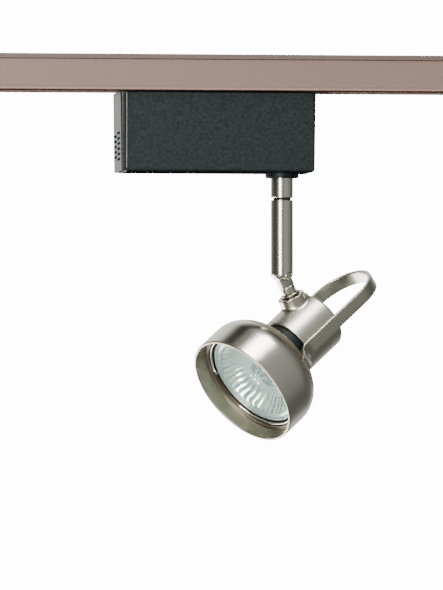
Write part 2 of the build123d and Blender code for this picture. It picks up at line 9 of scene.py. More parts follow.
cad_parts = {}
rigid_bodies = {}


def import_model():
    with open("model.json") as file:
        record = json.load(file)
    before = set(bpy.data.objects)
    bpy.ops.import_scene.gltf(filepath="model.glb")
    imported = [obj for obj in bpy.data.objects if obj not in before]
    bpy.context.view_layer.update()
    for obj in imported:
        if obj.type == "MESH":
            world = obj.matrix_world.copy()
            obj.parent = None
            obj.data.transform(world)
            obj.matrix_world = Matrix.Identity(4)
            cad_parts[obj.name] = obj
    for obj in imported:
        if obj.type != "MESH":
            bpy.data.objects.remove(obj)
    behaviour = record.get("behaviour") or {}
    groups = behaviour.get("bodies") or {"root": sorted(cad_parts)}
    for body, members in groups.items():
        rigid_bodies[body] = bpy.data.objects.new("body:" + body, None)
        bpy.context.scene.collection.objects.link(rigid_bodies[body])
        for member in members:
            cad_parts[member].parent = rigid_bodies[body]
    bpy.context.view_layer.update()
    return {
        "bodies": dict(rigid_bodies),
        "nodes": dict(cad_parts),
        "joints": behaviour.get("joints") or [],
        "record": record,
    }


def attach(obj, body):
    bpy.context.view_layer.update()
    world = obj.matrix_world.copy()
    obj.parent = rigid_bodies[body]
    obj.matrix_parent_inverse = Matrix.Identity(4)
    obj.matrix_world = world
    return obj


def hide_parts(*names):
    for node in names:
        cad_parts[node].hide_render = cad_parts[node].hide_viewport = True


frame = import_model()
NODES, REC = frame["nodes"], frame["record"]
JOINTS = {j["name"]: j for j in frame["joints"]}
MM = 0.001

# ------------------------------------------------------------------ frame of the head
TILT, AIM, RAKE, NECK_LEN, BOSS_S = 37.5, 30.0, 8.5, 30.5, 50.0
ta, ps, be = math.radians(TILT), math.radians(AIM), math.radians(TILT - RAKE)
UP = Vector((0, 0, 1))
H = Vector((-math.cos(ps), -math.sin(ps), 0))
F = H * math.cos(ta) - UP * math.sin(ta)
N = -H * math.sin(ta) - UP * math.cos(ta)
K = -H * math.sin(be) - UP * math.cos(be)
Q = UP.cross(H)
BACK = -F
PIVOT = Vector(JOINTS["head_tilt"]["pos_m"])
AXIS_PT = PIVOT + K * NECK_LEN * MM
RIM = AXIS_PT + F * BOSS_S * MM


def basis(origin, x, z):
    """A local frame with that x and z, in metres."""
    z = z.normalized()
    x = (x - z * x.dot(z)).normalized()
    y = z.cross(x)
    m = Matrix.Identity(4)
    for i, v in enumerate((x, y, z)):
        for j in range(3):
            m[j][i] = v[j]
    m.translation = origin
    return m


HEAD = basis(RIM, N, BACK)          # local Z runs back along the lamp axis
NECK = basis(PIVOT, Q, K)
head_back = HEAD.inverted()

# ------------------------------------------------------------------ mesh helpers (profiles in mm)


def rounded(points, closed=False, step=12.0):
    """Polyline with a fillet at each (x, y, r) that has an r."""
    n, out = len(points), []
    for i, p in enumerate(points):
        r = p[2] if len(p) > 2 else 0
        if r <= 0 or (not closed and i in (0, n - 1)):
            out.append((p[0], p[1]))
            continue
        a, b, c = Vector(points[i - 1][:2]), Vector(p[:2]), Vector(points[(i + 1) % n][:2])
        u, v = (a - b), (c - b)
        lu, lv = u.length, v.length
        u, v = u / lu, v / lv
        ang = math.acos(max(-1, min(1, u.dot(v))))
        if ang > math.radians(176):
            out.append((p[0], p[1]))
            continue
        cut = min(r / math.tan(ang / 2), lu * 0.48, lv * 0.48)
        r = cut * math.tan(ang / 2)
        mid = (u + v).normalized()
        ctr = b + mid * (r / math.sin(ang / 2))
        s, e = b + u * cut, b + v * cut
        a0 = math.atan2(s.y - ctr.y, s.x - ctr.x)
        a1 = math.atan2(e.y - ctr.y, e.x - ctr.x)
        d = (a1 - a0 + math.pi) % (2 * math.pi) - math.pi
        k = max(3, int(abs(math.degrees(d)) / step) + 1)
        for t in range(k + 1):
            w = a0 + d * t / k
            out.append((ctr.x + r * math.cos(w), ctr.y + r * math.sin(w)))
    return out


def arc(cx, cy, r, a0, a1, k):
    return [(cx + r * math.cos(math.radians(a0 + (a1 - a0) * i / k)), cy + r * math.sin(math.radians(a0 + (a1 - a0) * i / k))) for i in range(k + 1)]


def make(name, verts, faces, matrix, material=None, smooth=True, sharp=35.0, body=None, replaces=(), slot=None):
    me = bpy.data.meshes.new(name)
    me.from_pydata([tuple(v) for v in verts], [], faces)
    me.validate()
    bm = bmesh.new()
    bm.from_mesh(me)
    bmesh.ops.remove_doubles(bm, verts=bm.verts, dist=1e-7)
    bmesh.ops.recalc_face_normals(bm, faces=bm.faces)
    bm.to_mesh(me)
    bm.free()
    me.transform(matrix)
    if smooth:
        for p in me.polygons:
            p.use_smooth = True
        me.set_sharp_from_angle(angle=math.radians(sharp))
    ob = bpy.data.objects.new(name, me)
    bpy.context.scene.collection.objects.link(ob)
    if material:
        me.materials.append(material)
    if body:
        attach(ob, body)
    if replaces:
        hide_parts(*replaces)
    return ob


def lathe(name, prof, matrix, n=160, closed=True, a0=0.0, a1=360.0, **kw):
    """Turns a profile of (r, z) in mm about local Z."""
    full = abs(a1 - a0 - 360) < 1e-6
    cols = n if full else n + 1
    verts, rows = [], []
    for r, z in prof:
        if r < 1e-6:
            rows.append([len(verts)])
            verts.append((0, 0, z * MM))
        else:
            row = []
            for i in range(cols):
                w = math.radians(a0 + (a1 - a0) * i / n)
                row.append(len(verts))
                verts.append((r * math.cos(w) * MM, r * math.sin(w) * MM, z * MM))
            rows.append(row)
    faces = []
    m = len(prof)
    for j in range(m if closed else m - 1):
        A, B = rows[j], rows[(j + 1) % m]
        for i in range(n):
            i2 = (i + 1) % cols if full else i + 1
            if len(A) == 1 and len(B) == 1:
                continue
            if len(A) == 1:
                faces.append((A[0], B[i2], B[i]))
            elif len(B) == 1:
                faces.append((A[i], A[i2], B[0]))
            else:
                faces.append((A[i], A[i2], B[i2], B[i]))
    if not full and closed:
        faces.append(tuple(r[0] for r in rows))
        faces.append(tuple(r[-1] for r in reversed(rows)))
    return make(name, verts, faces, matrix, **kw)


def sweep(name, path, section, ups, matrix, closed=False, caps=True, **kw):
    """Carries a section of (side, up) in mm along a path of local points in mm. ups gives the section's up at each point."""
    verts, faces = [], []
    n, k = len(path), len(section)
    for i, p in enumerate(path):
        p = Vector(p)
        if closed:
            t = Vector(path[(i + 1) % n]) - Vector(path[i - 1])
        else:
            t = Vector(path[min(i + 1, n - 1)]) - Vector(path[max(i - 1, 0)])
        t.normalize()
        up = Vector(ups[i] if isinstance(ups, list) else ups)
        up = (up - t * up.dot(t)).normalized()
        side = t.cross(up)
        for a, b in section:
            verts.append((p + side * a + up * b) * MM)
    for i in range(n if closed else n - 1):
        for j in range(k):
            a, b = i * k + j, i * k + (j + 1) % k
            c, d = ((i + 1) % n) * k + (j + 1) % k, ((i + 1) % n) * k + j
            faces.append((a, b, c, d))
    if caps and not closed:
        faces.append(tuple(range(k)))
        faces.append(tuple(range((n - 1) * k, n * k)))
    return make(name, verts, faces, matrix, **kw)


# ------------------------------------------------------------------ materials


class Mat:
    def __init__(self, name):
        self.m = bpy.data.materials.new(name)
        self.m.use_nodes = True
        self.t = self.m.node_tree
        self.t.nodes.clear()
        self.out = self.t.nodes.new("ShaderNodeOutputMaterial")
        self.b = self.t.nodes.new("ShaderNodeBsdfPrincipled")
        self.t.links.new(self.b.outputs[0], self.out.inputs[0])
        self.tc = self.t.nodes.new("ShaderNodeTexCoord")

    def set(self, **kw):
        for k, v in kw.items():
            self.b.inputs[k.replace("_", " ")].default_value = v
        return self

    def node(self, kind, **kw):
        n = self.t.nodes.new(kind)
        for k, v in kw.items():
            if k in n.inputs.keys():
                n.inputs[k].default_value = v
            else:
                setattr(n, k, v)
        return n

    def link(self, a, b):
        self.t.links.new(a, b)

    def coords(self, scale=(1, 1, 1), frame=None):
        """The piece's own coordinates, turned into frame first when one is given."""
        at = self.tc.outputs["Object"]
        if frame is not None:
            inv = frame.inverted()
            turn = self.node("ShaderNodeMapping")
            turn.inputs["Rotation"].default_value = inv.to_euler("XYZ")
            turn.inputs["Location"].default_value = inv.to_translation()
            self.link(at, turn.inputs["Vector"])
            at = turn.outputs[0]
        mp = self.node("ShaderNodeMapping")
        mp.inputs["Scale"].default_value = scale
        self.link(at, mp.inputs["Vector"])
        return mp.outputs[0]

    def noise(self, vec, scale, detail=4.0, rough=0.5, dist=0.0):
        n = self.node("ShaderNodeTexNoise")
        n.inputs["Scale"].default_value = scale
        n.inputs["Detail"].default_value = detail
        n.inputs["Roughness"].default_value = rough
        n.inputs["Distortion"].default_value = dist
        self.link(vec, n.inputs["Vector"])
        return n.outputs["Fac"]

    def ramp(self, fac, stops, interp="LINEAR"):
        r = self.node("ShaderNodeValToRGB")
        r.color_ramp.interpolation = interp
        el = r.color_ramp.elements
        while len(el) < len(stops):
            el.new(0.5)
        for e, (p, c) in zip(el, stops):
            e.position = p
            e.color = (*c, 1) if len(c) == 3 else c
        self.link(fac, r.inputs[0])
        return r.outputs[0]

    def remap(self, fac, lo, hi, a=0.0, b=1.0):
        n = self.node("ShaderNodeMapRange")
        n.inputs["From Min"].default_value = a
        n.inputs["From Max"].default_value = b
        n.inputs["To Min"].default_value = lo
        n.inputs["To Max"].default_value = hi
        self.link(fac, n.inputs["Value"])
        return n.outputs[0]

    def math(self, op, a, b=None):
        n = self.node("ShaderNodeMath", operation=op)
        for i, v in enumerate((a, b)):
            if v is None:
                continue
            if isinstance(v, (int, float)):
                n.inputs[i].default_value = v
            else:
                self.link(v, n.inputs[i])
        return n.outputs[0]

    def mix(self, fac, a, b):
        n = self.node("ShaderNodeMix", data_type="RGBA")
        if isinstance(fac, (int, float)):
            n.inputs[0].default_value = fac
        else:
            self.link(fac, n.inputs[0])
        for i, v in ((6, a), (7, b)):
            if isinstance(v, tuple):
                n.inputs[i].default_value = (*v, 1)
            else:
                self.link(v, n.inputs[i])
        return n.outputs[2]

    def bump(self, height, strength, dist, after=None):
        n = self.node("ShaderNodeBump")
        n.inputs["Strength"].default_value = strength
        n.inputs["Distance"].default_value = dist
        self.link(height, n.inputs["Height"])
        if after is not None:
            self.link(after, n.inputs["Normal"])
        return n.outputs[0]

    def to(self, socket, out):
        self.link(out, self.b.inputs[socket])
        return self


def nickel(name, stretch, base=(0.50, 0.485, 0.425), rough=0.22, grain=0.02, tone=0.04, frame=None):
    """Satin nickel plate. stretch scales the grain: small along the brushing, large across it."""
    m = Mat(name)
    m.set(Metallic=1.0)
    fine = m.noise(m.coords(stretch, frame), 1.0, 5.0, 0.62)
    broad = m.noise(m.coords((60, 60, 60)), 1.0, 3.0, 0.5)
    speck = m.noise(m.coords((700, 700, 700)), 1.0, 2.0, 0.5)
    grey = m.ramp(fine, [(0.25, tuple(c * (1 - tone) for c in base)), (0.75, tuple(min(1, c * (1 + tone)) for c in base))])
    warm = m.mix(m.remap(broad, 0.0, 0.4, 0.35, 0.7), grey, tuple(c * k for c, k in zip(base, (0.95, 0.94, 0.86))))
    m.to("Base Color", warm)
    m.to("Roughness", m.math("ADD", m.remap(fine, rough - 0.03, rough + 0.03, 0.25, 0.75), m.remap(broad, -0.015, 0.02, 0.3, 0.7)))
    m.to("Normal", m.bump(speck, grain * 0.6, 0.0001, m.bump(fine, grain, 0.00008)))
    return m.m


def plain_metal(name, base, rough, scale=900, bump=0.06):
    m = Mat(name)
    m.set(Metallic=1.0)
    n1 = m.noise(m.coords(), scale, 4.0, 0.6)
    n2 = m.noise(m.coords(), scale * 0.12, 3.0, 0.5)
    m.to("Base Color", m.mix(n2, tuple(c * 0.82 for c in base), tuple(min(1, c * 1.1) for c in base)))
    m.to("Roughness", m.remap(n1, rough - 0.06, rough + 0.08, 0.3, 0.7))
    m.to("Normal", m.bump(n1, bump, 0.0001))
    return m.m


def plastic(name, dark, light, rough=0.5, grain=1400.0, depth=0.00009, strength=0.5, mottle=260.0, edge=None, spec=0.5, matt_below=False):
    """Moulded plastic with a fine spark-eroded grain; when edge is given, the sharp edges are painted lighter in that
    colour, a painted highlight.
    """
    m = Mat(name)
    m.set(**{"Specular_IOR_Level": spec})
    v = m.coords()
    g = m.noise(v, grain, 3.0, 0.6)
    mt = m.noise(v, mottle, 4.0, 0.65)
    col = m.mix(m.remap(mt, 0.0, 1.0, 0.38, 0.62), dark, light)
    # painted highlight: the edge colour is mixed in where the surface is sharply convex
    if edge:
        geo = m.node("ShaderNodeNewGeometry")
        e = m.remap(geo.outputs["Pointiness"], 0.0, 0.55, 0.52, 0.60)
        col = m.mix(e, col, edge)
    m.to("Base Color", col)
    m.to("Roughness", m.remap(g, rough - 0.08, rough + 0.1, 0.3, 0.7))
    if matt_below:
        under = m.node("ShaderNodeNewGeometry")
        ns = m.node("ShaderNodeSeparateXYZ")
        m.link(under.outputs["Normal"], ns.inputs[0])
        m.to("Specular IOR Level", m.remap(ns.outputs["Z"], spec, 0.0, -0.35, -0.8))
    vor = m.node("ShaderNodeTexVoronoi")
    vor.inputs["Scale"].default_value = grain * 0.75
    m.link(v, vor.inputs["Vector"])
    h = m.math("ADD", g, m.math("MULTIPLY", vor.outputs["Distance"], 0.5))
    m.to("Normal", m.bump(h, strength, depth))
    return m.m


def paint(name, a, b, rough=0.42):
    """Baked paint on an extrusion: faint orange peel and draw lines along X. Painted light is laid over it: a lighter
    bottom lip (painted highlight), a darker line above the lip and a darker top band (painted shade), and a near-black
    underside (painted shade).
    """
    m = Mat(name)
    m.set(**{"Coat_Roughness": 0.35})
    peel = m.noise(m.coords(), 650.0, 2.0, 0.5)
    draw = m.noise(m.coords((6, 900, 900)), 1.0, 3.0, 0.6)
    cloud = m.noise(m.coords((25, 60, 60)), 1.0, 3.0, 0.5)
    col = m.mix(m.math("MULTIPLY", m.math("ADD", cloud, draw), 0.5), a, b)
    # painted light on the track, by height: the bottom lip is painted lighter (painted highlight), a thin line above
    # it and the top band are painted darker (painted shade)
    sp = m.node("ShaderNodeSeparateXYZ")
    m.link(m.tc.outputs["Object"], sp.inputs[0])
    z = m.remap(sp.outputs["Z"], 0.0, 1.0, -0.0178, 0.0)
    band = m.ramp(z, [(0.0, (1.5, 1.4, 1.45)), (0.055, (1.42, 1.34, 1.38)), (0.085, (0.95, 0.92, 0.93)), (0.115, (0.86, 0.84, 0.85)), (0.15, (1, 1, 1)), (0.84, (1, 1, 1)), (0.872, (0.58, 0.61, 0.63)), (1.0, (0.60, 0.64, 0.67))])
    both = m.node("ShaderNodeMix", data_type="RGBA", blend_type="MULTIPLY")
    both.inputs[0].default_value = 1.0
    m.link(col, both.inputs[6])
    m.link(band, both.inputs[7])
    # painted shade: faces that point down are painted dark red-black and lose their gloss
    geo = m.node("ShaderNodeNewGeometry")
    ns = m.node("ShaderNodeSeparateXYZ")
    m.link(geo.outputs["Normal"], ns.inputs[0])
    underside_shade = m.remap(ns.outputs["Z"], 0.0, 1.0, -0.35, -0.8)
    m.to("Base Color", m.mix(underside_shade, both.outputs[2], (0.020, 0.0075, 0.0075)))
    m.to("Specular IOR Level", m.remap(underside_shade, 0.5, 0.0))
    m.to("Coat Weight", m.remap(underside_shade, 0.12, 0.0))
    m.to("Roughness", m.remap(peel, rough - 0.05, rough + 0.07, 0.3, 0.7))
    m.to("Normal", m.bump(m.math("ADD", peel, m.math("MULTIPLY", draw, 0.35)), 0.12, 0.00006))
    return m.m


def ceramic(name, a=(0.72, 0.70, 0.64), b=(0.80, 0.78, 0.73)):
    m = Mat(name)
    g = m.noise(m.coords(), 900.0, 5.0, 0.65)
    s = m.noise(m.coords(), 180.0, 3.0, 0.5)
    m.to("Base Color", m.mix(s, a, b))
    m.to("Roughness", m.remap(g, 0.6, 0.85))
    m.to("Normal", m.bump(g, 0.25, 0.0001))
    return m.m


NICKEL_TURNED = nickel("nickel_turned", (60, 60, 2200), frame=HEAD)         # rings about local Z
NICKEL_STEM = nickel("nickel_stem", (1300, 1300, 45), base=(0.50, 0.49, 0.425), rough=0.19, grain=0.008, tone=0.025)
NICKEL_STRAP = nickel("nickel_strap", (1700, 90, 90), base=(0.40, 0.39, 0.325), rough=0.27, grain=0.05, tone=0.10, frame=HEAD)
NICKEL_CAST = nickel("nickel_cast", (500, 500, 500), base=(0.43, 0.42, 0.355), rough=0.27, grain=0.02, tone=0.04)
NICKEL_SOCKET = nickel("nickel_socket", (60, 60, 1600), base=(0.46, 0.45, 0.39), rough=0.35, grain=0.02, frame=HEAD)
# a darker copy of the cup's nickel for its inner wall and lip face: painted shade in the hollow
NICKEL_INSIDE_SHADE = nickel("nickel_inside_painted_shade", (60, 60, 1500), base=(0.29, 0.252, 0.192), rough=0.40, grain=0.03, tone=0.05, frame=HEAD)
WIRE = plain_metal("bright_wire", (0.72, 0.72, 0.70), 0.18)
ZINC = plain_metal("zinc_steel", (0.58, 0.60, 0.62), 0.34)
COPPER = plain_metal("bare_copper", (0.80, 0.42, 0.24), 0.28)
BRASS = plain_metal("brass", (0.78, 0.60, 0.30), 0.30)
BLACK = plastic("black_textured", (0.0020, 0.0045, 0.0042), (0.0088, 0.0146, 0.0140), rough=0.46, edge=None, mottle=620.0, spec=0.2, matt_below=True)
BLACK_SMOOTH = plastic("black_phenolic", (0.002, 0.004, 0.003), (0.005, 0.007, 0.006), rough=0.55, grain=2200, depth=0.00004, strength=0.25, spec=0.22)
GREY_BLACK = plastic("end_plate_plastic", (0.001, 0.0025, 0.0023), (0.006, 0.0085, 0.008), rough=0.38, mottle=900.0, spec=0.32, matt_below=True)
# a lighter, glossier copy of the black plastic for the cover bead: painted highlight
BEAD = plastic("black_bead_painted_highlight", (0.004, 0.006, 0.0058), (0.010, 0.013, 0.0125), rough=0.34, mottle=900.0, spec=0.5)
# the taupe track paint carries a painted highlight on the lip, painted shade on the top band and painted shade on the
# underside
TAUPE = paint("taupe_paint", (0.138, 0.089, 0.069), (0.153, 0.100, 0.078))
# the end caps get a painted highlight along their sharp edges
TAUPE_CAP = plastic("taupe_plastic", (0.30, 0.225, 0.185), (0.345, 0.26, 0.215), rough=0.5, edge=(0.42, 0.34, 0.29))
WHITE_PVC = plastic("white_pvc", (0.62, 0.61, 0.56), (0.74, 0.73, 0.69), rough=0.45, strength=0.15)
CERAMIC = ceramic("steatite")
BOARD = plastic("circuit_board", (0.02, 0.11, 0.045), (0.035, 0.17, 0.07), rough=0.3, grain=900, strength=0.2, mottle=500)
GREEN = plastic("terminal_green", (0.02, 0.20, 0.07), (0.03, 0.27, 0.10), rough=0.42)
FERRITE = plastic("ferrite", (0.03, 0.03, 0.033), (0.07, 0.07, 0.075), rough=0.65)
SLEEVE = plastic("capacitor_sleeve", (0.01, 0.012, 0.02), (0.02, 0.022, 0.035), rough=0.28, strength=0.1)

NODE_MATERIAL = {
    "track_channel": TAUPE, "track_end_cap_left": TAUPE_CAP, "track_end_cap_right": TAUPE_CAP,
    "track_insulator_front": WHITE_PVC, "track_insulator_rear": WHITE_PVC, "track_conductors": COPPER, "track_ground_strip": COPPER,
    "earth_button": BRASS, "adapter_head": BLACK, "adapter_contacts": COPPER, "housing_cover": BLACK, "housing_end_plate": GREY_BLACK,
    "transformer_board": BOARD, "transformer_core": FERRITE, "transformer_winding": COPPER, "board_capacitors": SLEEVE,
    "board_transistors": SLEEVE, "board_terminal": GREEN, "board_posts": BLACK, "swivel_disc": BLACK, "stem_upper": NICKEL_STEM,
    "swivel_washer": BLACK_SMOOTH, "swivel_nipple": ZINC, "nipple_nut": ZINC, "swivel_retainer": ZINC, "stem_lower": NICKEL_STEM,
    "pivot_pin": NICKEL_CAST, "knuckle": NICKEL_CAST, "neck_collar": NICKEL_CAST, "neck_locknut": ZINC, "socket_shell": NICKEL_TURNED,
    "insulator_collar": BLACK_SMOOTH, "lampholder": CERAMIC, "lampholder_contacts": BRASS, "socket_screws": ZINC, "cup_shell": NICKEL_TURNED,
    "loop_strap": NICKEL_STRAP, "strap_screws": ZINC, "retaining_ring": WIRE, "lamp_base": CERAMIC, "lamp_pins": ZINC,
}
for name, ob in NODES.items():
    ob.data.materials.clear()
    ob.data.materials.append(NODE_MATERIAL.get(name, ZINC))
    for p in ob.data.polygons:
        p.material_index = 0
        p.use_smooth = True
    ob.data.set_sharp_from_angle(angle=math.radians(28))

# ------------------------------------------------------------------ bead along the cover's open edge
bead = [(0.45 * math.cos(t), 0.9 * math.sin(t)) for t in [k * math.pi / 12 for k in range(24)]]
dz = math.tan(math.radians(0.73))
for name, side in (("cover_bead_front", -1), ("cover_bead_rear", 1)):
    pts = [(-44.85, side * (14.80 - dz * (z - 18.6)), -z) for z in (18.6, 30.0, 42.0, 55.6)]
    sweep(name, pts, bead, (1, 0, 0), Matrix.Identity(4), material=BEAD, body="fixture", slot="black_plastic")

# ------------------------------------------------------------------ cup
CUP_R, DOME_R, STRAIGHT = 30.0, 15.0, 13.6
X0 = CUP_R - DOME_R
ri = DOME_R - 1.5
prof = rounded([(27.4, 9.6), (27.0, 9.6), (27.0, 12.2), (24.2, 12.2, 0.2), (24.2, 13.4, 0.2), (28.5, 13.4)])
prof += arc(X0, STRAIGHT, ri, 0, 90, 20)
prof += rounded([(9.5 + 2, STRAIGHT + ri), (9.5, STRAIGHT + ri, 0.3), (9.5, STRAIGHT + DOME_R, 0.3), (X0 - 1, STRAIGHT + DOME_R)])
prof += arc(X0, STRAIGHT, DOME_R, 90, 0, 32)
prof += [(CUP_R, 10.0), (CUP_R, 5.0)]
prof += rounded([(CUP_R, 2.0), (CUP_R, 0.0, 0.72), (28.5, 0.0, 0.72), (28.5, 2.0)], step=9)
prof += rounded([(28.5, 5.0), (28.5, 7.2, 0.3), (27.0, 7.2, 0.25), (27.0, 8.1), (27.4, 8.1)], step=15)
cup = lathe("cup", prof, HEAD, n=224, material=NICKEL_TURNED, body="head", replaces=("cup_shell",), slot="brushed_nickel", sharp=40)
# painted shade: the inner wall and the front face of the lip take the darker nickel
cup.data.materials.append(NICKEL_INSIDE_SHADE)
for p in cup.data.polygons:
    c = head_back @ p.center
    if math.hypot(c.x, c.y) < 28.6 * MM or c.z < 0.45 * MM:
        p.material_index = 1

# ------------------------------------------------------------------ black collar
prof = rounded([(9.7, 28.6), (14.1, 28.6, 0.3), (14.1, 35.4, 0.3), (13.9, 35.4), (13.9, 44.2), (9.7, 44.2)], closed=False)
lathe("collar", prof, HEAD, n=160, material=BLACK_SMOOTH, body="head", replaces=("insulator_collar",), slot="black_phenolic", sharp=40)

# ------------------------------------------------------------------ loop strap
x0, cy0 = X0, STRAIGHT
r_mid = DOME_R + 0.03 + 0.95
f0, f1 = math.radians(24), math.radians(58)
g = 17.6
r_b = (x0 + (DOME_R + 0.03 + 1.9) * math.cos(f1) - (g + 0.95)) / (1 - math.cos(f1)) + 0.95
bx, by = g + r_b, cy0 + (r_mid) * math.sin(f1) + r_b * math.sin(f1)
half = [(x0 + r_mid * math.cos(f0 + (f1 - f0) * i / 12), cy0 + r_mid * math.sin(f0 + (f1 - f0) * i / 12)) for i in range(13)]
half += [(bx - r_b * math.cos(f1 * (1 - i / 10)), by - r_b * math.sin(f1 * (1 - i / 10))) for i in range(1, 11)]
apex_c = 95.0 - g
half += [(g, by + (apex_c - by) * i / 14) for i in range(1, 15)]
half += [(g * math.cos(math.pi / 2 * i / 28), apex_c + g * math.sin(math.pi / 2 * i / 28)) for i in range(1, 29)]
path2 = [(q, s) for q, s in half] + [(-q, s) for q, s in reversed(half[:-1])]
path3 = [(0.0, -q, s) for q, s in path2]         # local y is -Q, so the near leg is at -y
sec = rounded([(-0.95, -3.3, 0.42), (0.95, -3.3, 0.42), (0.95, 3.3, 0.42), (-0.95, 3.3, 0.42)], closed=True, step=18)
sweep("loop_handle", path3, sec, (1, 0, 0), HEAD, material=NICKEL_STRAP, body="head", replaces=("loop_strap",), slot="brushed_nickel", sharp=40)

# ------------------------------------------------------------------ socket shell and boss
prof = rounded([(0, 60.5 + 0.6), (6.0, 60.85, 6), (11.2, 60.3, 3), (15.4, 60.2, 4.2), (15.4, 50), (15.4, 41), (15.4, 35.4, 0.5), (14.0, 35.4, 0.2), (14.0, 45), (14.0, 57.5, 2.0), (0, 59.2)], step=6)
lathe("socket", prof, HEAD, n=192, closed=False, material=NICKEL_SOCKET, body="head", replaces=("socket_shell",), slot="brushed_nickel", sharp=40)

# boss: a turned collar whose foot flares into the socket's side
R_S, R_B, FIL = 15.4, 6.75, 1.5
head_inv = HEAD.inverted()
verts, faces = [], []
n_b = 128
boss_prof_top = rounded([(2.97, 6.5), (2.97, 3.5), (2.97, 1.4), (4.7, 1.4, 0.15), (4.7, 0.0, 0.25), (R_B, 0.0, 0.7), (R_B, 1.2)], step=12)
BOSS_FACE = NECK_LEN - 19.4
rows = []
for r, z in boss_prof_top:
    row = []
    for i in range(n_b):
        w = 2 * math.pi * i / n_b
        p = Vector((r * math.cos(w), r * math.sin(w), BOSS_FACE + z)) * MM
        row.append(head_inv @ (NECK @ p) / MM)
    rows.append(row)
foot_rows = 10
foot = [[] for _ in range(foot_rows)]
for i in range(n_b):
    w = 2 * math.pi * i / n_b

    def wall(rad, d):
        return head_inv @ (NECK @ (Vector((rad * math.cos(w), rad * math.sin(w), d)) * MM)) / MM

    def hit(rad):
        lo, hi = BOSS_FACE, NECK_LEN
        for _ in range(40):
            mid = (lo + hi) / 2
            p = wall(rad, mid)
            if math.hypot(p.x, p.y) > R_S:
                lo = mid
            else:
                hi = mid
        return lo

    d_in, d_out = hit(R_B), hit(R_B + FIL)
    a = wall(R_B, d_in - FIL)
    b = wall(R_B, d_in)
    c = wall(R_B + FIL, d_out)
    c2 = Vector((c.x, c.y, 0)).normalized() * (R_S + 0.004)
    c = Vector((c2.x, c2.y, c.z))
    for j in range(foot_rows):
        t = (j + 1) / foot_rows
        foot[j].append(a * (1 - t) ** 2 + b * 2 * t * (1 - t) + c * t * t)
rows += foot
verts = [v * MM for row in rows for v in row]
faces = [(j * n_b + i, j * n_b + (i + 1) % n_b, (j + 1) * n_b + (i + 1) % n_b, (j + 1) * n_b + i) for j in range(len(rows) - 1) for i in range(n_b)]
make("socket_boss", verts, faces, HEAD, material=NICKEL_CAST, body="head", slot="brushed_nickel", sharp=50)

# ------------------------------------------------------------------ knuckle: barrel, shoulder and tongue
prof = rounded([(0, 5.6), (2.2, 5.6), (3.7, 5.6, 0.9), (3.7, 8.0), (3.7, 9.4, 0.1), (3.45, 9.6, 0.1), (3.45, 9.9), (3.45, 12.4), (2.95, 12.5), (2.95, 20.5, 0.3), (1.6, 20.7), (1.6, 15), (0, 15)], step=9)
lathe("neck_barrel", prof, NECK, n=96, closed=False, material=NICKEL_CAST, body="head", slot="brushed_nickel")
sec = []
for i in range(25):
    w = math.radians(90 + 180 * i / 24)
    sec.append((3.6 * math.cos(w), 3.6 * math.sin(w)))
outline = [(-3.6 * math.sin(math.radians(a)), -3.6 * math.cos(math.radians(a))) for a in []]
tv, tf = [], []
ring = [(3.6 * math.cos(math.radians(a)), 3.6 * math.sin(math.radians(a))) for a in range(0, 181, 6)] + [(-3.6, -6.2), (3.6, -6.2)]
hole = []
lay = [(-1.95, 0.35), (-1.7, 0.0), (1.7, 0.0), (1.95, 0.35)]
prevs = None
levels = []
for x, inset in ((-1.95, 0.30), (-1.86, 0.09), (-1.65, 0.0), (1.65, 0.0), (1.86, 0.09), (1.95, 0.30)):
    k = (3.6 - inset) / 3.6
    levels.append([len(tv) + i for i in range(len(ring))])
    for a, b in ring:
        yy = b * k if b > -6 else b
        tv.append(Vector((x, a * k, -yy)) * MM)
for L0, L1 in zip(levels[:-1], levels[1:]):
    for i in range(len(ring)):
        j = (i + 1) % len(ring)
        tf.append((L0[i], L0[j], L1[j], L1[i]))
tf.append(tuple(levels[0]))
tf.append(tuple(reversed(levels[-1])))
make("knuckle_tongue", tv, tf, NECK, material=NICKEL_CAST, body="head", replaces=("knuckle",), slot="brushed_nickel", sharp=30)

prof = rounded([(3.72, 0.0), (4.1, 0.0, 0.3), (4.55, 0.35, 0.3), (4.55, 0.75, 0.3), (4.1, 1.1, 0.3), (3.72, 1.1)], step=15)
prof = [(r, z + BOSS_FACE - 1.5) for r, z in prof]
lathe("neck_ring", prof, NECK, n=96, material=NICKEL_CAST, body="head", replaces=("neck_collar",), slot="brushed_nickel")

# ------------------------------------------------------------------ lamp: reflector with its facets
random.seed(7)


def bowl(t):
    """Inner surface of the reflector: t 0 at the mouth, 1 at the throat. (r, s) in mm."""
    pts = [(21.4, 10.6), (18.6, 15.0), (13.4, 19.3), (7.0, 22.9)]
    u = t * 3
    i = min(2, int(u))
    u -= i
    p0 = pts[max(0, i - 1)]
    p1, p2 = pts[i], pts[i + 1]
    p3 = pts[min(3, i + 2)]
    o = []
    for k in (0, 1):
        o.append(0.5 * ((2 * p1[k]) + (-p0[k] + p2[k]) * u + (2 * p0[k] - 5 * p1[k] + 4 * p2[k] - p3[k]) * u * u + (-p0[k] + 3 * p1[k] - 3 * p2[k] + p3[k]) * u ** 3))
    return o


verts, faces, tone = [], [], []
flutes = 44
rings = [0.0, 0.52, 0.61, 0.69, 0.76, 0.82, 0.88, 0.94, 1.0]
